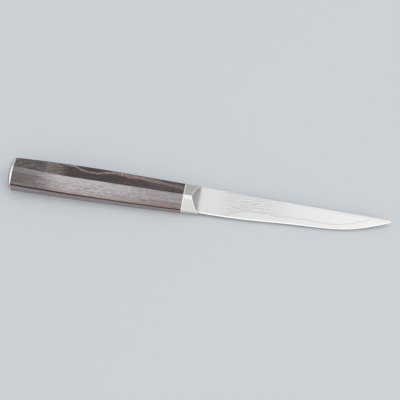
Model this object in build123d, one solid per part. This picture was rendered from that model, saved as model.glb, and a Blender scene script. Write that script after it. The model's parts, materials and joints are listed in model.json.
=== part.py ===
from build123d import *
import os

# Boning knife: a three-layer blade, a steel bolster with a ground scoop on each side, a
# faceted wooden handle and a domed end cap.
#
# Knife frame, in mm: X = 0 is where the blade meets the bolster, +X runs to the tip, +Y is
# the spine side and +Z is the right face. The last step lays the finished knife down on its
# left handle facet, and the files are written in that resting frame, with Z = 0 as the table.

# Blade
blade_length = 150.0
spine_y = 10.6                # the straight spine, above the middle line of the knife
heel_height = 21.2            # spine to edge where the blade meets the bolster
front_height = 20.5           # spine to edge at front_share of the way to the sweep
front_share = 0.3
middle_height = 17.3          # spine to edge at middle_share of the way to the sweep
middle_share = 0.7
sweep_length = 38.0           # last stretch before the tip, where the edge rises fast
sweep_height = 14.7           # spine to edge where the sweep starts
tip_drop = 1.8                # the point lies this far below the line of the spine
tip_round = 6.0               # the spine curves down to the point over this length
spine_half = 1.12             # half thickness of the spine at the heel
sweep_half = 0.79             # half thickness of the spine where the sweep starts
tip_half = 0.32               # half thickness of the spine at the tip
edge_half = 0.21              # half thickness just behind the bevel at the heel
bevel_width = 0.85            # sharpened strip along the edge
land_half = 0.03              # half of the narrow flat left on the edge itself
core_half = 0.45              # half thickness of the hard middle layer

# Flat stub of a tang behind the blade
tang_length = 30.0
tang_height = 7.5
tang_half = 0.85
tang_end_length = 8.0         # the rear end is narrowed to fit the fork of the rod
tang_end_height = 5.4

# Bolster
bolster_length = 13.8
scoop_depth = 7.1             # how far the scoop reaches back from the blade at the ridge
scoop_front_half = 2.2        # half thickness left beside the blade
scoop_middle_back = 4.0       # a middle point of the scoop's arc, measured from the blade
scoop_middle_half = 4.0
scoop_tilt = 3.4              # degrees, leaves more steel on the belly side
slot_gap = 0.05               # solder gap all round the tang

# Handle
wood_length = 133.2
cap_thickness = 3.4           # end cap, at the top of its dome
cap_dome_radius = 45.0
cap_chamfer = 0.9             # between the straight rim and the dome
droop_start = 48.0            # behind the bolster, where the top line begins to fall
spine_droop = 3.7             # fall of the top line to the butt
belly_front = 11.5            # underside below the middle line: at the blade,
belly_middle = 14.8           # halfway to the butt,
belly_rear = 16.1             # and at the butt
ridge_y_front = -0.1          # ridge between the two side facets, at the bolster's rear
ridge_y_rear = -3.6           # and at the butt
ridge_half_front = 6.8
ridge_half_rear = 9.7         # where the two facets would meet at the butt
side_flat_half = 8.85         # a tapering flat takes the ridge off beyond this
belly_slope = 0.29            # thickness lost per mm on the lower facet, towards the belly
spine_slope = 0.415           # and on the upper facet, towards the spine

# Inside the handle
rod_y = -3.2
rod_diameter = 6.0
fork_gap = 0.05               # between the fork of the rod and the tang, each side
bedding = 1.25                # adhesive all round the rod
counterbore_diameter = 11.0
counterbore_depth = 9.0
washer_diameter = 10.6
washer_thickness = 1.5
washer_clearance = 0.4
nut_diameter = 9.2
nut_length = 5.0
nut_slot_width = 1.4
nut_slot_depth = 1.0
rod_proud = 0.8               # thread showing behind the nut
pin_diameter = 1.8
pin_in_wood = 6.0
pin_in_cap = 1.2
pin_inset_top = 2.2           # pin centre below the top line at the butt
pin_inset_bottom = 3.6        # pin centre above the underside at the butt

# Places worked out from the sizes above
wood_front = -bolster_length
wood_rear = wood_front - wood_length
butt = wood_rear - cap_thickness
butt_top = spine_y - spine_droop
sweep_start = blade_length - sweep_length
tang_rear = -tang_length
fork_front = tang_rear + tang_end_length
seat = wood_rear + counterbore_depth
nut_front = seat - washer_thickness
nut_rear = nut_front - nut_length
rod_rear = nut_rear - rod_proud
bore_diameter = rod_diameter + 2 * bedding
pin_heights = (butt_top - pin_inset_top, -belly_rear + pin_inset_bottom)
reach = 60.0                  # larger than any cross-section, for cutting tools


def slab(x_low, x_high, z_low=-reach, z_high=reach):
    """Everything between two stations along X and two levels in Z."""
    size = (x_high - x_low, 2 * reach, z_high - z_low)
    return Pos((x_low + x_high) / 2, 0, (z_low + z_high) / 2) * Box(*size)


def round_bar(x_low, x_high, diameter, y=rod_y):
    """A cylinder along X."""
    turned = Pos((x_low + x_high) / 2, y, 0) * Rot(0, 90, 0)
    return turned * Cylinder(diameter / 2, x_high - x_low)


def mirrored(shape):
    """The same piece on the other face of the knife."""
    return mirror(shape, about=Plane.XY)


# ---- blade

def blade_outline():
    """The blade from the side, as a flat face at Z = 0."""
    heel = (0, spine_y - heel_height)
    tip = (blade_length, spine_y - tip_drop)
    edge_points = [
        heel,
        (front_share * sweep_start, spine_y - front_height),
        (middle_share * sweep_start, spine_y - middle_height),
        (sweep_start, spine_y - sweep_height),
        (sweep_start + 0.30 * sweep_length, spine_y - 0.83 * sweep_height),
        (sweep_start + 0.62 * sweep_length, spine_y - 0.55 * sweep_height),
        (sweep_start + 0.84 * sweep_length, spine_y - 0.33 * sweep_height),
        tip,
    ]
    edge = Spline(*edge_points)
    spine_end = (blade_length - tip_round, spine_y)
    spine = Line((0, spine_y), spine_end)
    nose = TangentArc(spine_end, tip, tangent=(1, 0))
    back = Line(heel, (0, spine_y))
    return make_face([spine, nose, edge, back])


def right_grind():
    """Everything to the left of the ground right face: thinner towards the edge and the tip."""
    slope = (spine_half - edge_half) / heel_height
    surface = Spline(
        (0, spine_y, spine_half),
        (sweep_start, spine_y, sweep_half),
        (blade_length, spine_y, tip_half),
        tangents=((1, 0, 0), (1, 0, -2 * (sweep_half - tip_half) / sweep_length)),
    )
    below = -2.0
    rim = Polyline(
        (blade_length, spine_y, tip_half),
        (blade_length, spine_y, below),
        (0, spine_y, below),
        (0, spine_y, spine_half),
    )
    section = make_face([surface, rim])
    towards_edge = Vector(0, -1, -slope)
    return extrude(section, amount=heel_height * towards_edge.length * 1.1, dir=towards_edge)


def right_bevel(outline):
    """Everything inside the sharpened strip of the right face."""
    slope = (spine_half - edge_half) / heel_height
    rise = edge_half + slope * bevel_width - land_half
    along = Vector(0, bevel_width, rise)
    height = 3 * spine_half
    start = Pos(0, 0, land_half) * outline
    sheared = extrude(start, amount=height / along.normalized().Z, dir=along)
    return sheared + extrude(outline, amount=land_half)


def right_blank():
    """The right half of the forged blade with its tang, from the middle plane outwards."""
    outline = blade_outline()
    blade = extrude(outline, amount=2 * spine_half) & right_grind() & right_bevel(outline)
    wide_length = tang_length - tang_end_length
    wide = Pos(-wide_length / 2, rod_y, tang_half / 2) * Box(wide_length, tang_height, tang_half)
    end_middle = tang_rear + tang_end_length / 2
    narrow = Pos(end_middle, rod_y, tang_half / 2) * Box(
        tang_end_length, tang_end_height, tang_half
    )
    return blade + wide + narrow


def blade_layers():
    """Core and the two claddings, cut from the blank at two flat weld planes."""
    blank = right_blank()
    beyond = blade_length + 10
    half_core = blank & slab(tang_rear - 10, beyond, 0, core_half)
    core = half_core + mirrored(half_core)
    cladding = blank & slab(tang_rear - 10, beyond, core_half, reach)
    return core, cladding, mirrored(cladding)


# ---- handle

def facet_plane(side, tilt):
    """Plane of one long facet. side is +1 for the right face and -1 for the left, and tilt
    is how the thickness changes per mm towards the spine."""
    front = Vector(wood_front, ridge_y_front, side * ridge_half_front)
    rear = Vector(wood_rear, ridge_y_rear, side * ridge_half_rear)
    across = Vector(0, 1, side * tilt)
    normal = (front - rear).cross(across)
    if normal.Z * side < 0:
        normal = -normal
    return Plane(origin=front, x_dir=front - rear, z_dir=normal)


def grip_form():
    """The shape that the bolster, the wood and the end cap share, before it is divided."""
    droop_x = wood_front - droop_start
    top_front = (0, spine_y)
    top_droop = (droop_x, spine_y)
    top_rear = (butt, butt_top)
    belly_start = (0, -belly_front)
    belly_end = (butt, -belly_rear)
    outline = [
        Line(top_front, top_droop),
        TangentArc(top_droop, top_rear, tangent=(-1, 0)),
        Line(top_rear, belly_end),
        ThreePointArc(belly_end, (butt / 2, -belly_middle), belly_start),
        Line(belly_start, top_front),
    ]
    form = extrude(make_face(outline), amount=side_flat_half, both=True)
    for side in (1, -1):
        for tilt in (belly_slope, -spine_slope):
            form = split(form, bisect_by=facet_plane(side, tilt), keep=Keep.BOTTOM)
    return form


def right_scoop():
    """The hollow ground into the right side of the bolster, as a cutting tool."""
    ridge_growth = (ridge_half_rear - ridge_half_front) / wood_length
    ridge_half = ridge_half_front - ridge_growth * (bolster_length - scoop_depth)
    above = 2 * side_flat_half
    hollow = ThreePointArc(
        (0, 0, scoop_front_half),
        (-scoop_middle_back, 0, scoop_middle_half),
        (-scoop_depth, 0, ridge_half),
    )
    rim = Polyline(
        (-scoop_depth, 0, ridge_half),
        (-scoop_depth - 1, 0, above),
        (1, 0, above),
        (1, 0, scoop_front_half),
        (0, 0, scoop_front_half),
    )
    section = make_face([hollow, rim])
    return Rot(-scoop_tilt, 0, 0) * extrude(section, amount=reach, both=True)


def make_bolster(form):
    body = form & slab(wood_front, 0)
    scoop = right_scoop()
    slot = Pos(-bolster_length / 2, rod_y, 0) * Box(
        bolster_length + 1, tang_height + 2 * slot_gap, 2 * (tang_half + slot_gap)
    )
    return body - scoop - mirrored(scoop) - slot


def make_grip(form):
    body = form & slab(wood_rear, wood_front)
    body -= round_bar(seat, wood_front, bore_diameter)
    body -= round_bar(wood_rear, seat, counterbore_diameter)
    for y in pin_heights:
        body -= round_bar(wood_rear, wood_rear + pin_in_wood, pin_diameter, y)
    return body


def make_end_cap(form):
    middle_y = (butt_top - belly_rear) / 2
    dome = Pos(butt + cap_dome_radius, middle_y, 0) * Sphere(cap_dome_radius)
    body = form & slab(butt, wood_rear) & dome
    domed_face = body.faces().sort_by(Axis.X)[0]
    body = chamfer(domed_face.edges(), cap_chamfer)
    for y in pin_heights:
        body -= round_bar(wood_rear - pin_in_cap, wood_rear, pin_diameter, y)
    return body


def make_cap_pins():
    pins = []
    for y in pin_heights:
        pins.append(round_bar(wood_rear - pin_in_cap, wood_rear + pin_in_wood, pin_diameter, y))
    return Compound(children=pins)


# ---- inside the handle

def make_rod():
    fork = Pos(fork_front - tang_end_length / 2, rod_y, 0) * Box(
        tang_end_length, 2 * rod_diameter, 2 * (tang_half + fork_gap)
    )
    return round_bar(rod_rear, fork_front, rod_diameter) - fork


def make_bedding():
    tang = Pos((wood_front + fork_front) / 2, rod_y, 0) * Box(
        wood_front - fork_front, tang_height, 2 * tang_half
    )
    fill = round_bar(seat, wood_front, bore_diameter)
    return fill - round_bar(seat, fork_front, rod_diameter) - tang


def make_washer():
    disc = round_bar(nut_front, seat, washer_diameter)
    return disc - round_bar(nut_front, seat, rod_diameter + washer_clearance)


def make_nut():
    body = round_bar(nut_rear, nut_front, nut_diameter)
    body -= round_bar(nut_rear, nut_front, rod_diameter)
    slot = Pos(nut_rear + nut_slot_depth / 2, rod_y, 0) * Box(
        nut_slot_depth, nut_slot_width, 2 * nut_diameter
    )
    return body - slot


# ---- lay the knife down and write it

def resting_place(pieces):
    """The move that puts the left lower facet on the table, with the knife's box centred."""
    facet = facet_plane(-1, belly_slope)
    table = Plane(origin=facet.origin, x_dir=facet.x_dir, z_dir=-facet.z_dir)
    lay_down = table.location.inverse()
    box = Compound(children=[piece.moved(lay_down) for piece in pieces]).bounding_box()
    centre = box.center()
    return Pos(-centre.X, -centre.Y, 0) * lay_down


def main():
    form = grip_form()
    core, cladding_right, cladding_left = blade_layers()
    nodes = {
        "blade_core": core,
        "blade_cladding_right": cladding_right,
        "blade_cladding_left": cladding_left,
        "bolster": make_bolster(form),
        "handle_grip": make_grip(form),
        "end_cap": make_end_cap(form),
        "tang_rod": make_rod(),
        "bedding_adhesive": make_bedding(),
        "tang_washer": make_washer(),
        "tang_nut": make_nut(),
        "cap_pins": make_cap_pins(),
    }
    place = resting_place([core, nodes["bolster"], nodes["handle_grip"], nodes["end_cap"]])
    os.makedirs("parts", exist_ok=True)
    for name, piece in nodes.items():
        export_step(piece.moved(place), f"parts/{name}.step")


main()
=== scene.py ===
import json
import math

import bpy
from mathutils import Matrix, Vector

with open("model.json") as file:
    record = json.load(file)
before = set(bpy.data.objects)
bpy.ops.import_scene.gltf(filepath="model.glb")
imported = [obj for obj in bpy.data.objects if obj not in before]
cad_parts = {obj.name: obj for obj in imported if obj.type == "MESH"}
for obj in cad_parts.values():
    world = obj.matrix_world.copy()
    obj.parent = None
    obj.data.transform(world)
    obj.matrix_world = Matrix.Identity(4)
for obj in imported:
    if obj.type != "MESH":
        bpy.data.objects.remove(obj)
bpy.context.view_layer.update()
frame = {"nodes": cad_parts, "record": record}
nodes = frame["nodes"]
mounts = {m["name"]: m for m in frame["record"]["mounts"]}
print("frame loaded:", len(nodes), "pieces")

# The knife's own axes, as it lies: along the blade, up to the spine, out of the right face.
heelPoint = Vector(mounts["blade_in_sheath"]["pos_m"])
alongAxis = Vector(mounts["blade_in_sheath"]["axis"]).normalized()
faceAxis = Vector(mounts["blade_flat"]["axis"]).normalized()
spineAxis = faceAxis.cross(alongAxis).normalized()
faceAxis = alongAxis.cross(spineAxis)
knifeTurn = Matrix((alongAxis, spineAxis, faceAxis)).transposed()

cameraSetup = {
    "azimuth": 2.378,       # degrees round from the edge side towards the tip
    "elevation": 52.831,
    "roll": 5.983,
    "distance": 0.7813,     # metres from the heel of the blade
    "lens": 90.06,
    "sensor": 36.0,
    "aimRight": -0.00038,   # the view's middle, from the heel, in the picture plane
    "aimUp": 0.00023,
}


def makeCamera(setup):
    azimuth, elevation, roll = (math.radians(setup[k]) for k in ("azimuth", "elevation", "roll"))
    back = Vector((
        math.sin(azimuth) * math.cos(elevation),
        -math.cos(azimuth) * math.cos(elevation),
        math.sin(elevation),
    ))
    level = Vector((math.cos(azimuth), math.sin(azimuth), 0))
    upright = back.cross(level)
    right = level * math.cos(roll) + upright * math.sin(roll)
    up = upright * math.cos(roll) - level * math.sin(roll)
    data = bpy.data.cameras.new("camera")
    data.lens = setup["lens"]
    data.sensor_width = setup["sensor"]
    data.clip_start = 0.01
    camera = bpy.data.objects.new("camera", data)
    turn = Matrix((right, up, back)).transposed()
    aim = heelPoint + right * setup["aimRight"] + up * setup["aimUp"]
    place = aim + back * setup["distance"]
    camera.matrix_world = Matrix.Translation(place) @ turn.to_4x4()
    bpy.context.scene.collection.objects.link(camera)
    bpy.context.scene.camera = camera


makeCamera(cameraSetup)
print("camera placed")

studio = {
    "floorSize": 8.0,
    "floorColour": (0.705, 0.74, 0.775),
    "floorRoughness": 0.85,
    "floorGloss": 0.2,
    "brightAir": (1.06, 1.06, 1.05),
    "dimAir": (0.58, 0.59, 0.61),
    "brightSide": (0.15, -0.35, 0.92),  # where the bright half of the air is
    "airRange": (0.40, 0.96),           # how far round from it the light fades
    "overhead": {"place": (0.48, 0.09, 1.0), "size": 0.60, "watts": 0.55},
    "front": {"place": (0.0, -0.50, 0.88), "size": 0.36, "watts": 0.12},
}


def makeAir(setup):
    world = bpy.data.worlds.new("studioAir")
    world.use_nodes = True
    tree = world.node_tree
    direction = tree.nodes.new("ShaderNodeTexCoord")
    nearness = tree.nodes.new("ShaderNodeVectorMath")
    nearness.operation = "DOT_PRODUCT"
    nearness.inputs[1].default_value = Vector(setup["brightSide"]).normalized()
    fade = tree.nodes.new("ShaderNodeMapRange")
    fade.interpolation_type = "SMOOTHSTEP"
    fade.inputs["From Min"].default_value = setup["airRange"][0]
    fade.inputs["From Max"].default_value = setup["airRange"][1]
    blend = tree.nodes.new("ShaderNodeMix")
    blend.data_type = "RGBA"
    blend.inputs[6].default_value = (*setup["dimAir"], 1)
    blend.inputs[7].default_value = (*setup["brightAir"], 1)
    join = tree.links.new
    join(direction.outputs["Generated"], nearness.inputs[0])
    join(nearness.outputs["Value"], fade.inputs["Value"])
    join(fade.outputs["Result"], blend.inputs[0])
    join(blend.outputs[2], tree.nodes["Background"].inputs["Color"])
    bpy.context.scene.world = world


def makeStudio(setup):
    bpy.ops.mesh.primitive_plane_add(size=setup["floorSize"], location=(0, 0, 0))
    floor = bpy.context.object
    floor.name = "floor"
    paint = bpy.data.materials.new("floorPaint")
    paint.use_nodes = True
    shader = paint.node_tree.nodes["Principled BSDF"]
    shader.inputs["Base Color"].default_value = (*setup["floorColour"], 1)
    shader.inputs["Roughness"].default_value = setup["floorRoughness"]
    shader.inputs["Specular IOR Level"].default_value = setup["floorGloss"]
    floor.data.materials.append(paint)
    makeAir(setup)
    for name in ("overhead", "front"):
        lamp = setup[name]
        data = bpy.data.lights.new(name, "AREA")
        data.shape = "SQUARE"
        data.size = lamp["size"]
        data.energy = lamp["watts"]
        light = bpy.data.objects.new(name, data)
        place = Vector(lamp["place"])
        turn = place.to_track_quat("Z", "Y").to_matrix().to_4x4()
        light.matrix_world = Matrix.Translation(place) @ turn
        bpy.context.scene.collection.objects.link(light)
    bpy.context.scene.view_settings.view_transform = "Standard"


makeStudio(studio)
print("floor and lights ready")


# Nodes of one material, with short calls to add and join them.
class Recipe:
    def __init__(self, name):
        self.material = bpy.data.materials.new(name)
        self.material.use_nodes = True
        self.tree = self.material.node_tree
        self.shader = self.tree.nodes["Principled BSDF"]

    def node(self, kind, inputs=None, **settings):
        made = self.tree.nodes.new(kind)
        for key, value in settings.items():
            setattr(made, key, value)
        for key, value in (inputs or {}).items():
            self.feed(made.inputs[key], value)
        return made

    def feed(self, socket, value):
        if isinstance(value, bpy.types.NodeSocket):
            self.tree.links.new(value, socket)
        else:
            socket.default_value = value

    def knifeSpace(self):    # place on the surface in mm, in the knife's own axes
        geometry = self.node("ShaderNodeTexCoord")
        mapping = self.node("ShaderNodeMapping", vector_type="TEXTURE", inputs={
            "Vector": geometry.outputs["Object"],
            "Location": heelPoint,
            "Rotation": knifeTurn.to_euler(),
            "Scale": (0.001, 0.001, 0.001),
        })
        return mapping.outputs["Vector"]

    def split(self, vector):
        parts = self.node("ShaderNodeSeparateXYZ", {"Vector": vector})
        return parts.outputs["X"], parts.outputs["Y"], parts.outputs["Z"]

    def math(self, operation, a, b=0.0, c=0.0):
        made = self.node("ShaderNodeMath", {0: a, 1: b, 2: c}, operation=operation)
        return made.outputs[0]

    def stretch(self, vector, scale, shift=(0, 0, 0)):
        made = self.node("ShaderNodeMapping", {"Vector": vector, "Scale": scale, "Location": shift})
        return made.outputs["Vector"]

    def tilt(self, vector, degrees):
        made = self.node("ShaderNodeMapping", {
            "Vector": vector, "Rotation": (0, 0, math.radians(degrees)),
        })
        return made.outputs["Vector"]

    def noise(self, vector, scale=1.0, detail=2.0, rough=0.5, warp=0.0):
        made = self.node("ShaderNodeTexNoise", {
            "Vector": vector, "Scale": scale, "Detail": detail, "Roughness": rough,
            "Distortion": warp,
        })
        return made.outputs["Fac"]

    def band(self, value, low, high, start=0.0, end=1.0, smooth=True):
        made = self.node("ShaderNodeMapRange", {
            "Value": value, "From Min": low, "From Max": high, "To Min": start, "To Max": end,
        }, interpolation_type="SMOOTHSTEP" if smooth else "LINEAR")
        return made.outputs["Result"]

    def mix(self, factor, a, b, blend="MIX"):
        made = self.node("ShaderNodeMix", data_type="RGBA", blend_type=blend)
        self.feed(made.inputs[0], factor)
        self.feed(made.inputs[6], (*a, 1) if isinstance(a, tuple) else a)
        self.feed(made.inputs[7], (*b, 1) if isinstance(b, tuple) else b)
        return made.outputs[2]

    def trace(self, x, points, xRange, yRange):
        (x0, x1), (y0, y1) = xRange, yRange
        where = self.band(x, x0, x1, smooth=False)
        made = self.node("ShaderNodeFloatCurve", {"Value": where})
        line = made.mapping.curves[0]
        spots = [((px - x0) / (x1 - x0), (py - y0) / (y1 - y0)) for px, py in points]
        line.points[0].location = spots[0]
        line.points[-1].location = spots[-1]
        for spot in spots[1:-1]:
            line.points.new(*spot)
        made.mapping.update()
        return self.math("MULTIPLY_ADD", made.outputs[0], y1 - y0, y0)

    def facing(self, axis):
        normal = self.node("ShaderNodeNewGeometry").outputs["True Normal"]
        made = self.node("ShaderNodeVectorMath", {0: normal, 1: axis}, operation="DOT_PRODUCT")
        return made.outputs["Value"]

    def times(self, a, b):
        return self.math("MULTIPLY", a, b)

    def bump(self, height, strength, distance):
        made = self.node("ShaderNodeBump", {
            "Height": height, "Strength": strength, "Distance": distance,
        })
        return made.outputs["Normal"]

    def set(self, **values):
        for key, value in values.items():
            self.feed(self.shader.inputs[key.replace("_", " ")], value)
        return self.material


def paint(nodeName, material):
    piece = nodes[nodeName]
    piece.data.materials.clear()
    piece.data.materials.append(material)


woodLook = {
    "charcoal": (0.052, 0.047, 0.043),
    "umber": (0.130, 0.084, 0.076),
    "mossy": (0.098, 0.100, 0.086),
    "buttBrown": (0.215, 0.178, 0.168),
    "pinkPatch": (0.30, 0.225, 0.205),
    "salmon": (0.42, 0.225, 0.180),
    # painted sheen: the pale lavender given to the side and lower facets
    "sheenLavender": (0.60, 0.555, 0.58),
    "sheenLavenderDeep": (0.49, 0.435, 0.45),
    "plum": (0.135, 0.113, 0.122),
    "roseTan": (0.47, 0.345, 0.32),
    "lowerLine": (0.020, 0.006, 0.005),
    "bellyReflectionGrey": (0.52, 0.455, 0.465),
    "buttTan": (0.27, 0.175, 0.165),
    "rust": (0.190, 0.140, 0.130),
    "roseVein": (0.58, 0.38, 0.35),
    "paleVein": (0.48, 0.34, 0.32),
    "ridge": (0.72, 0.60, 0.60),
    "poreAndCapShade": (0.030, 0.022, 0.022),
    "bellyRim": (-0.0201, 3.1),  # half width of the underside: slope and size at 0, in mm
    "bellyCurve": (-11.5, 0.05733, 0.0001778),  # underside: height at 0, slope, bend, in mm
    # Which way a facet faces, from -1 straight away from the spine to 1 straight up.
    "upperFacing": (0.12, 0.26),
    "flatFacing": ((-0.25, -0.18), (-0.03, -0.09)),
    "underFacing": (-0.32, -0.38),
    "bellyFacing": (-0.91, -0.96),
    # Where things lie along the knife, in mm: from the first place to the second.
    "rustZone": (-70.0, -30.0),
    "buttZone": (-106.0, -116.0),
    "patchStart": (-122.4, -121.7),
    "patchEnd": (-104.0, -114.0),
    "patchEdge": ((-122.8, -122.2), (-120.6, -121.6)),
    "tanZone": (-90.0, -30.0),
    "salmonZone": (-56.0, -28.0),
    "streakZone": (-78.0, -26.0),
    "frontPlum": (-80.0, -16.0),
    "raggedPlum": (-78.0, -100.0),
    "buttPlum": (-112.0, -146.0),
    "buttTanZone": (-104.0, -126.0),
    "buttGrainZone": (-108.0, -128.0),
    "mottledZone": (-112.0, -126.0),
    "underRidgeStart": (-124.0, -108.0),
    "underRidgeFade": (-85.0, -45.0),
    "rimWidens": (-70.0, -105.0),
    "capShadow": (-146.35, -146.75),
    "veinStart": (-114.0, -103.0),
    "veinPales": (-94.0, -98.0),
    "veinWidens": (-84.0, -62.0),
    "veinFade": (-76.0, -18.0),
    "veinSpan": (-147.0, -13.0),
    "veinHeights": (-6.0, 12.0),
    # How high things lie above the underside, in mm.
    "lowerLineHeights": (1.05, 0.60),
    "tanHeights": (5.6, 1.4),
    "salmonHeights": (3.6, 1.6),
    "streakHeights": ((2.8, 3.8), (6.2, 4.6)),
    "raggedPlumHeights": (0.6, 3.4),
    "buttPlumHeights": (2.0, 3.6),
    "buttTanHeights": (3.4, 1.8),
    "underRidgeHeights": (7.2, 9.4),
    "plumBelow": (-5.2, -6.8),      # height in the knife's own axes, in mm
    "rimWidth": (0.5, 1.6),         # dark rim of the underside, front and butt, in mm
    # The pale vein across the upper facet: (along, height) in mm.
    "vein": (
        (-147, 8.6), (-120, 9.4), (-110, 9.1), (-106, 8.7), (-102, 9.0), (-98.5, 8.0),
        (-96, 6.8), (-92, 5.7), (-88, 5.4), (-84, 5.5), (-80, 6.3), (-76, 7.4), (-72, 8.3),
        (-67, 8.8), (-60, 8.6), (-50, 8.4), (-40, 8.0), (-32, 7.3), (-24, 6.6), (-13, 5.8),
    ),
}


def makeWood(look):
    r = Recipe("stripedWood")
    place = r.knifeSpace()
    x, y, z = r.split(place)
    up = r.facing(spineAxis)
    onUpper = r.band(up, *look["upperFacing"])
    onBelly = r.band(up, *look["bellyFacing"])
    fibre = r.noise(r.stretch(place, (0.16, 1.15, 1.15)), detail=5, rough=0.68)
    fine = r.noise(r.stretch(place, (0.40, 2.2, 2.2), (5, 1, 3)), detail=4, rough=0.7)
    grainRun = r.noise(r.stretch(place, (0.075, 0.95, 0.95), (4, 4, 9)), detail=5, rough=0.66)
    figure = r.noise(r.stretch(place, (0.055, 0.34, 0.34), (2, 7, 1)), detail=3, warp=0.6)
    knot = r.noise(r.stretch(place, (0.16, 0.30, 0.30), (9, 2, 4)), detail=4, rough=0.6, warp=1.2)

    # upper facet: charcoal with umber and mossy figure
    slant = r.stretch(r.tilt(place, -24.0), (0.11, 0.75, 0.5), (9, 2, 4))
    curl = r.noise(slant, detail=4, rough=0.62, warp=0.5)
    dark = r.mix(r.band(figure, 0.50, 0.70, 0.0, 0.7), look["charcoal"], look["umber"])
    dark = r.mix(r.band(knot, 0.55, 0.72, 0.0, 0.7), dark, look["mossy"])
    dark = r.mix(r.band(fibre, 0.46, 0.66, 0.0, 0.55), dark, look["umber"])
    toBolster = r.times(r.band(x, *look["rustZone"], 0.0, 0.6), r.band(grainRun, 0.44, 0.60))
    dark = r.mix(toBolster, dark, look["rust"])
    atButt = r.band(r.math("MULTIPLY_ADD", knot, 12.0, x), *look["buttZone"])
    butt = r.mix(r.band(curl, 0.34, 0.64), look["charcoal"], look["buttBrown"])
    butt = r.mix(r.band(fibre, 0.50, 0.66, 0.0, 0.6), butt, look["mossy"])
    butt = r.mix(r.band(curl, 0.56, 0.70, 0.0, 0.7), butt, look["pinkPatch"])
    dark = r.mix(atButt, dark, butt)
    patch = r.times(r.band(x, *look["patchStart"]), r.band(x, *look["patchEnd"]))
    spots = r.math("MULTIPLY_ADD", knot, 0.5, r.times(curl, 0.5))
    spots = r.math("MULTIPLY_ADD", fibre, 0.5, spots)
    dark = r.mix(r.times(patch, r.band(spots, 0.62, 0.82, 0.14, 1.0)), dark, look["pinkPatch"])
    edgeStart, edgeEnd = look["patchEdge"]
    patchEdge = r.times(r.band(x, *edgeStart), r.band(x, *edgeEnd, 0.0, 0.45))
    dark = r.mix(patchEdge, dark, look["pinkPatch"])
    vein = r.trace(x, look["vein"], look["veinSpan"], look["veinHeights"])
    vein = r.math("MULTIPLY_ADD", curl, 1.6, r.math("ADD", vein, -0.8))
    off = r.math("ABSOLUTE", r.math("SUBTRACT", y, vein))
    off = r.math("MULTIPLY_ADD", fibre, 2.0, r.math("ADD", off, -1.0))
    spread = r.band(x, *look["veinWidens"], 1.0, 0.50)
    spread = r.times(spread, r.band(figure, 0.40, 0.60, 0.75, 1.3))
    inVein = r.band(r.times(off, spread), 0.40, 1.10, 1.0, 0.0)
    inVein = r.times(inVein, r.band(x, *look["veinStart"], 0.0, 0.85))
    inVein = r.times(inVein, r.band(x, *look["veinFade"], 1.0, 0.45))
    inVein = r.times(inVein, r.band(fibre, 0.34, 0.52, 0.45, 1.0))
    veinTint = r.mix(r.band(x, *look["veinPales"]), look["roseVein"], look["paleVein"])
    dark = r.mix(inVein, dark, veinTint)
    dark = r.mix(r.band(fine, 0.42, 0.58, 0.60, 0.0), dark, look["poreAndCapShade"])

    # side and lower facets: a pale layer of painted sheen over the wood, plum near the butt, rose
    # tan along the lower edge
    pale = r.mix(r.band(grainRun, 0.38, 0.60), look["sheenLavenderDeep"], look["sheenLavender"])
    slope = r.math("MULTIPLY_ADD", x, look["bellyCurve"][2], look["bellyCurve"][1])
    height = r.math("SUBTRACT", y, r.math("MULTIPLY_ADD", x, slope, look["bellyCurve"][0]))
    wavy = r.math("MULTIPLY_ADD", figure, 2.4, r.math("ADD", height, -1.2))
    wavy = r.math("MULTIPLY_ADD", grainRun, 2.6, r.math("ADD", wavy, -1.3))
    toTan = r.band(wavy, *look["tanHeights"])
    pale = r.mix(r.times(toTan, r.band(x, *look["tanZone"], 0.80, 1.0)), pale, look["roseTan"])
    nearFront = r.band(x, *look["salmonZone"], 0.0, 0.62)
    inSalmon = r.times(nearFront, r.band(wavy, *look["salmonHeights"]))
    pale = r.mix(inSalmon, pale, look["salmon"])
    streakLow, streakHigh = look["streakHeights"]
    streak = r.times(r.band(wavy, *streakLow), r.band(wavy, *streakHigh))
    pale = r.mix(r.times(streak, r.band(x, *look["streakZone"], 0.0, 0.40)), pale, look["plum"])
    # the painted sheen fades to plum towards the bolster
    pale = r.mix(r.band(x, *look["frontPlum"], 0.0, 0.36), pale, look["plum"])
    ragged = r.math("MULTIPLY_ADD", grainRun, 50.0, r.math("MULTIPLY_ADD", knot, 20.0, x))
    inPlum = r.times(r.band(ragged, *look["raggedPlum"]), r.band(y, *look["plumBelow"]))
    inPlum = r.times(inPlum, r.band(wavy, *look["raggedPlumHeights"], 0.15, 0.95))
    pale = r.mix(inPlum, pale, look["plum"])
    # the painted sheen fades to plum towards the butt
    fade = r.band(x, *look["buttPlum"], 0.0, 0.62)
    fade = r.times(fade, r.band(wavy, *look["buttPlumHeights"], 0.0, 1.0))
    pale = r.mix(fade, pale, look["plum"])
    buttTan = r.band(x, *look["buttTanZone"], 0.0, 0.8)
    buttTan = r.times(buttTan, r.band(wavy, *look["buttTanHeights"]))
    pale = r.mix(buttTan, pale, look["buttTan"])
    buttGrain = r.times(r.band(x, *look["buttGrainZone"]), r.band(fibre, 0.42, 0.60, 0.28, 0.0))
    pale = r.mix(buttGrain, pale, look["charcoal"])
    mottled = r.times(r.band(x, *look["mottledZone"]), r.band(curl, 0.42, 0.60, 0.0, 0.6))
    pale = r.mix(mottled, pale, look["buttBrown"])
    dashes = r.noise(r.stretch(place, (0.15, 1.5, 1.5), (3, 8, 6)), detail=4, rough=0.6)
    pale = r.mix(r.band(dashes, 0.53, 0.64, 0.0, 0.60), pale, look["plum"])
    pale = r.mix(r.band(fine, 0.34, 0.54, 0.60, 0.0), pale, look["plum"])
    # painted highlight on the narrow faces where the facets meet
    flatLow, flatHigh = look["flatFacing"]
    ridge = r.times(r.band(up, *flatLow), r.band(up, *flatHigh))
    pale = r.mix(r.times(ridge, 0.75), pale, look["ridge"])
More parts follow.
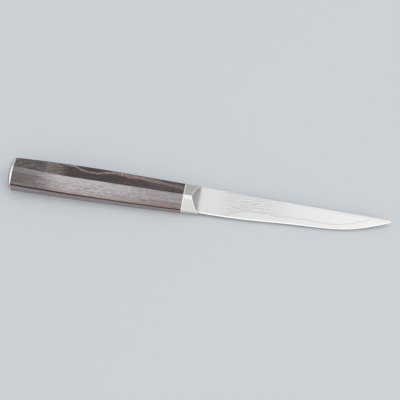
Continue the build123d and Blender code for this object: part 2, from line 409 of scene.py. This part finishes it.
    # painted highlight: lavender strip just under the upper facet, strongest towards the butt
    underRidgeHighlight = r.band(height, *look["underRidgeHeights"])
    underRidgeHighlight = r.times(underRidgeHighlight, r.band(x, *look["underRidgeStart"]))
    underRidgeHighlight = r.times(underRidgeHighlight, r.band(x, *look["underRidgeFade"], 0.42, 0.0))
    pale = r.mix(underRidgeHighlight, pale, look["sheenLavender"])
    pale = r.mix(r.band(height, *look["lowerLineHeights"]), pale, look["lowerLine"])
    pale = r.mix(r.band(up, *look["underFacing"]), pale, look["lowerLine"])
    # underside: grey painted reflection of the floor over plum wood, with a dark line along its rim
    belly = r.mix(fibre, look["plum"], look["bellyReflectionGrey"])
    fromRim = r.math("SUBTRACT", z, r.math("MULTIPLY_ADD", x, *look["bellyRim"]))
    rimWidth = r.band(x, *look["rimWidens"], *look["rimWidth"])
    belly = r.mix(r.band(r.math("ADD", fromRim, rimWidth), -0.4, 0.3), belly, look["lowerLine"])
    pale = r.mix(onBelly, pale, belly)

    # facets facing the spine take the dark wood, all others the pale colour with its painted sheen
    colour = r.mix(onUpper, pale, dark)
    # painted shade: a dark band along the joint with the cap
    colour = r.mix(r.band(x, *look["capShadow"], 0.0, 0.9), colour, look["poreAndCapShade"])
    relief = r.math("ADD", fine, r.times(fibre, 0.8))
    roughness = r.band(fibre, 0.3, 0.7, 0.46, 0.36, smooth=False)
    return r.set(
        Base_Color=colour, Roughness=roughness, Normal=r.bump(relief, 0.5, 0.00005),
        Specular_IOR_Level=0.4, Coat_Weight=0.15, Coat_Roughness=0.34,
    )


bladeLook = {
    "ground": (0.685, 0.685, 0.685),
    "etched": (0.53, 0.53, 0.53),
    "core": (0.675, 0.675, 0.675),
    "edge": (0.90, 0.90, 0.90),
    "weld": (0.36, 0.355, 0.35),
    "satinShade": (0.40, 0.40, 0.40),
    # painted shade near the spine and along it
    "nearSpine": (0.45, 0.455, 0.46),
    "spineLine": (0.30, 0.305, 0.31),
    "linePitch": 1.6,                  # mm
    "edgeFacing": (0.10, 0.16),        # the sharpened bevel faces this much to the edge
    # Along the knife, in mm.
    "patternStart": (20.0, 32.0),
    "patternFade": (44.0, 84.0),
    "weldStart": (17.0, 26.0),
    "spineShadeZone": (60.0, 120.0),
    "spineLineZone": (12.0, 50.0),
    # Height, in mm.
    "churnHeights": (2.0, 9.0),
    "spineShadeHeights": (6.5, 10.6),
    "spineLineHeights": (9.7, 10.2),
    # Distance from the line where the core begins, in mm.
    "coreFade": (-0.15, 0.15),
    "weldWidth": (0.08, 0.40),
    "coreSpan": (0.0, 152.0),
    "coreHeights": (-12.0, 12.0),
    # Where the bare core begins, up the right and left faces: (along, height) in mm.
    "coreLine": (
        (0, -12), (18, -11), (26.5, -6.6), (33, -4.0), (39, -2.8), (45, -2.3), (53.5, -2.0),
        (59, -2.9), (66, -2.3), (80, -1.4), (95, -1.6), (107, -1.0), (116, 1.3), (120, 2.3),
        (123.5, 4.1), (130, 5.8), (133, 8.6), (136, 12), (152, 12),
    ),
}


def makeBladeSteel(look):
    r = Recipe("layeredBladeSteel")
    place = r.knifeSpace()
    x, y = r.split(place)[:2]
    ripple = r.noise(r.stretch(place, (0.35, 0.0, 0.0)), detail=3)
    coreTop = r.trace(x, look["coreLine"], look["coreSpan"], look["coreHeights"])
    coreTop = r.math("MULTIPLY_ADD", ripple, 1.8, r.math("ADD", coreTop, -0.9))
    above = r.math("SUBTRACT", y, coreTop)
    onCladding = r.band(above, *look["coreFade"])
    weldLine = r.band(r.math("ABSOLUTE", above), *look["weldWidth"], 1.0, 0.0)

    swirl = r.noise(r.stretch(place, (0.045, 0.11, 0.3)), detail=3, rough=0.55)
    churn = r.noise(r.stretch(place, (0.16, 0.42, 0.6), (4, 1, 0)), detail=3, rough=0.6)
    nearSpine = r.band(y, *look["churnHeights"], 0.9, 2.4)
    depth = r.math("MULTIPLY_ADD", swirl, 9.0, r.math("MULTIPLY_ADD", x, -0.07, y))
    depth = r.math("MULTIPLY_ADD", churn, nearSpine, depth)
    wave = r.math("SINE", r.times(depth, 2 * math.pi / look["linePitch"]))
    lines = r.band(wave, -0.9, 0.6)
    started = r.band(r.math("MULTIPLY_ADD", churn, 16.0, x), *look["patternStart"])
    fading = r.band(x, *look["patternFade"], 1.0, 0.12)
    etch = r.times(r.times(started, fading), onCladding)
    etchedHere = r.times(r.math("SUBTRACT", 1.0, lines), etch)

    satin = r.noise(r.stretch(place, (9.0, 0.25, 1.0)), detail=3, rough=0.7)
    colour = r.mix(onCladding, look["core"], look["ground"])
    colour = r.mix(r.times(etchedHere, 0.85), colour, look["etched"])
    weldSeen = r.times(r.times(weldLine, 0.55), r.band(x, *look["weldStart"]))
    colour = r.mix(weldSeen, colour, look["weld"])
    colour = r.mix(r.band(satin, 0.35, 0.65, 0.06, 0.0), colour, look["satinShade"])

    onBevel = r.band(r.facing(-spineAxis), *look["edgeFacing"])
    # painted shade: a darker band near the spine towards the tip, and a dark line along the spine
    spineShadeMask = r.band(y, *look["spineShadeHeights"])
    spineShadeMask = r.times(spineShadeMask, r.band(x, *look["spineShadeZone"], 0.0, 0.32))
    spineShadeLine = r.band(y, *look["spineLineHeights"])
    spineShadeLine = r.times(spineShadeLine, r.band(x, *look["spineLineZone"], 0.0, 0.55))
    colour = r.mix(spineShadeMask, colour, look["nearSpine"])
    colour = r.mix(spineShadeLine, colour, look["spineLine"])
    colour = r.mix(onBevel, colour, look["edge"])
    roughness = r.math("MULTIPLY_ADD", etchedHere, 0.10, r.band(satin, 0.3, 0.7, 0.36, 0.30))
    height = r.math("MULTIPLY_ADD", etchedHere, -1.0, r.times(weldLine, -0.8))
    height = r.math("MULTIPLY_ADD", satin, 0.12, height)
    return r.set(
        Base_Color=colour, Metallic=1.0, Roughness=roughness,
        Normal=r.bump(height, 0.35, 0.00002),
    )


capLook = {
    # one steel, painted lighter on the rim as a highlight and darker on the dome as shade
    "rim": (0.86, 0.85, 0.84),
    "dome": (0.40, 0.395, 0.39),
    "worn": (0.62, 0.61, 0.60),
    "domeFacing": (0.30, 0.55),        # the dome faces this much away from the tip
}


def makeCapSteel(look):
    r = Recipe("satinCapSteel")
    place = r.knifeSpace()
    grain = r.noise(r.stretch(place, (5.0, 1.2, 1.2)), detail=4, rough=0.7)
    # painted shade on faces turned from the tip, painted highlight on the rim
    onShadedDome = r.band(r.facing(-alongAxis), *look["domeFacing"])
    colour = r.mix(onShadedDome, look["rim"], look["dome"])
    colour = r.mix(r.band(grain, 0.30, 0.55, 0.35, 0.0), colour, look["worn"])
    roughness = r.band(grain, 0.3, 0.7, 0.34, 0.44)
    return r.set(
        Base_Color=colour, Metallic=1.0, Roughness=roughness,
        Normal=r.bump(grain, 0.30, 0.00002),
    )


bolsterLook = {
    "face": (0.655, 0.635, 0.61),
    # the scoop's two colours are painted shade, darker than the faces
    "scoop": (0.50, 0.495, 0.485),
    "scoopShadeAndBrushGrey": (0.40, 0.395, 0.385),
    # next three: the underside's painted reflection, its painted shade, and a white painted
    # highlight
    "belly": (0.80, 0.79, 0.775),
    "bellyShadeGrey": (0.40, 0.40, 0.40),
    "shine": (1.0, 0.995, 0.985),
    # Which way a face looks: towards the tip, or up to the spine.
    "scoopAhead": (0.30, 0.36),
    "sideAhead": (0.20, 0.10),
    "sideUp": (-0.80, -0.50),
    "bellyUp": (-0.50, -0.80),
    "shineUp": (0.25, -0.05),
    "lowerUp": (0.0, -0.1),
    "scoopCurve": ((2.2, 0.0), (4.0, -4.0), (6.65, -7.1)),  # (half thickness, along) in mm
    "scoopHalves": (2.2, 6.65),
    "scoopSpan": (-7.1, 0.0),
    "scoopLean": 0.0594,           # the scoop leans this much per mm of height
    "scoopMiddle": 1.5,            # the scoop's middle is this far below the axis, in mm
    "scoopDims": (2.5, 8.5),       # painted shade darkens it towards its upper and lower ends, from the middle, in mm
    "scoopFront": (-4.5, -1.0),    # and towards the blade, in mm
    "bellyFade": (0.5, -2.0),      # painted shade fading in across the underside, in mm
    "ridgeStrip": (-4.4, -1.4),    # painted highlight: light strip on the lower facet just below the upper one, in mm
    "arcWidth": (1.0, 0.5),        # painted highlight: bright line behind the scoop's edge, in mm
    "rearLine": (-12.8, -13.2),    # painted highlight: bright line where the wood begins
}


def makeBolsterSteel(look):
    r = Recipe("satinBolsterSteel")
    place = r.knifeSpace()
    x, y, z = r.split(place)
    ahead = r.facing(alongAxis)
    inScoop = r.band(ahead, *look["scoopAhead"])
    up = r.facing(spineAxis)
    onSide = r.times(r.band(ahead, *look["sideAhead"]), r.band(up, *look["sideUp"]))
    half = r.math("MULTIPLY_ADD", y, look["scoopLean"], r.math("ABSOLUTE", z))
    arc = r.trace(half, look["scoopCurve"], look["scoopHalves"], look["scoopSpan"])
    onArc = r.times(onSide, r.band(r.math("SUBTRACT", arc, x), *look["arcWidth"]))
    onRear = r.times(onSide, r.band(x, *look["rearLine"]))
    onBelly = r.band(up, *look["bellyUp"])
    brush = r.noise(r.stretch(place, (0.10, 1.5, 1.5)), detail=5, rough=0.75)
    scratch = r.noise(r.stretch(place, (3.0, 0.8, 0.8), (1, 5, 2)), detail=4, rough=0.7)
    brush = r.mix(inScoop, brush, scratch)
    # painted shade in the scoop: darker than the faces, darkest at its ends and near the blade
    fromMiddle = r.math("ABSOLUTE", r.math("ADD", y, look["scoopMiddle"]))
    scoop = r.mix(r.band(fromMiddle, *look["scoopDims"]), look["scoop"], look["scoopShadeAndBrushGrey"])
    scoop = r.mix(r.band(x, *look["scoopFront"], 0.0, 0.45), scoop, look["scoopShadeAndBrushGrey"])
    colour = r.mix(inScoop, look["face"], scoop)
    # darker brushed streaks over the whole bolster, in the same grey
    colour = r.mix(r.band(brush, 0.32, 0.56, 0.22, 0.0), colour, look["scoopShadeAndBrushGrey"])
    # underside: painted reflection, darker towards the table with painted shade
    belly = r.mix(r.band(z, *look["bellyFade"]), look["belly"], look["bellyShadeGrey"])
    colour = r.mix(onBelly, colour, belly)
    # painted highlight: bright lines behind the scoop's edge and where the wood begins, and a light
    # strip just below the upper facet
    shining = r.math("MAXIMUM", onArc, onRear)
    shining = r.times(shining, r.band(up, *look["shineUp"], 0.55, 0.80))
    colour = r.mix(shining, colour, look["shine"])
    belowRidgeHighlight = r.times(r.band(y, *look["ridgeStrip"]), r.band(up, *look["lowerUp"]))
    colour = r.mix(r.times(belowRidgeHighlight, 0.50), colour, look["shine"])
    roughness = r.band(brush, 0.3, 0.7, 0.36, 0.44)
    # the painted highlights and the underside are made less metallic so they show whiter
    paintedLightMask = r.math("MAXIMUM", r.math("MAXIMUM", onArc, onRear), onBelly)
    return r.set(
        Base_Color=colour, Metallic=r.math("MULTIPLY_ADD", paintedLightMask, -0.75, 1.0),
        Roughness=roughness, Normal=r.bump(brush, 0.35, 0.00002),
    )


turnedLook = {
    "steel": (0.50, 0.50, 0.51),
    "roughness": 0.34,
    "grooves": 18.0,         # radians per mm along the knife
}


def makeTurnedSteel(look):
    r = Recipe("turnedSteel")
    x = r.split(r.knifeSpace())[0]
    grooves = r.math("SINE", r.times(x, look["grooves"]))
    return r.set(
        Base_Color=(*look["steel"], 1), Metallic=1.0, Roughness=look["roughness"],
        Normal=r.bump(grooves, 0.3, 0.00002),
    )


adhesiveLook = {
    "amber": (0.38, 0.33, 0.25),
    "cream": (0.50, 0.45, 0.36),
    "roughness": 0.5,
}


def makeAdhesive(look):
    r = Recipe("curedAdhesive")
    blotch = r.noise(r.stretch(r.knifeSpace(), (0.3, 0.3, 0.3)), detail=4)
    colour = r.mix(r.band(blotch, 0.35, 0.65), look["amber"], look["cream"])
    return r.set(
        Base_Color=colour, Roughness=look["roughness"],
        Normal=r.bump(blotch, 0.3, 0.0001),
    )


bladeSteel = makeBladeSteel(bladeLook)
wood = makeWood(woodLook)
bolsterSteel = makeBolsterSteel(bolsterLook)
capSteel = makeCapSteel(capLook)
turnedSteel = makeTurnedSteel(turnedLook)
finishes = {
    "blade_core": bladeSteel,
    "blade_cladding_right": bladeSteel,
    "blade_cladding_left": bladeSteel,
    "bolster": bolsterSteel,
    "handle_grip": wood,
    "end_cap": capSteel,
    "tang_rod": turnedSteel,
    "tang_washer": turnedSteel,
    "tang_nut": turnedSteel,
    "cap_pins": turnedSteel,
    "bedding_adhesive": makeAdhesive(adhesiveLook),
}
for nodeName, material in finishes.items():
    paint(nodeName, material)
print("materials ready")
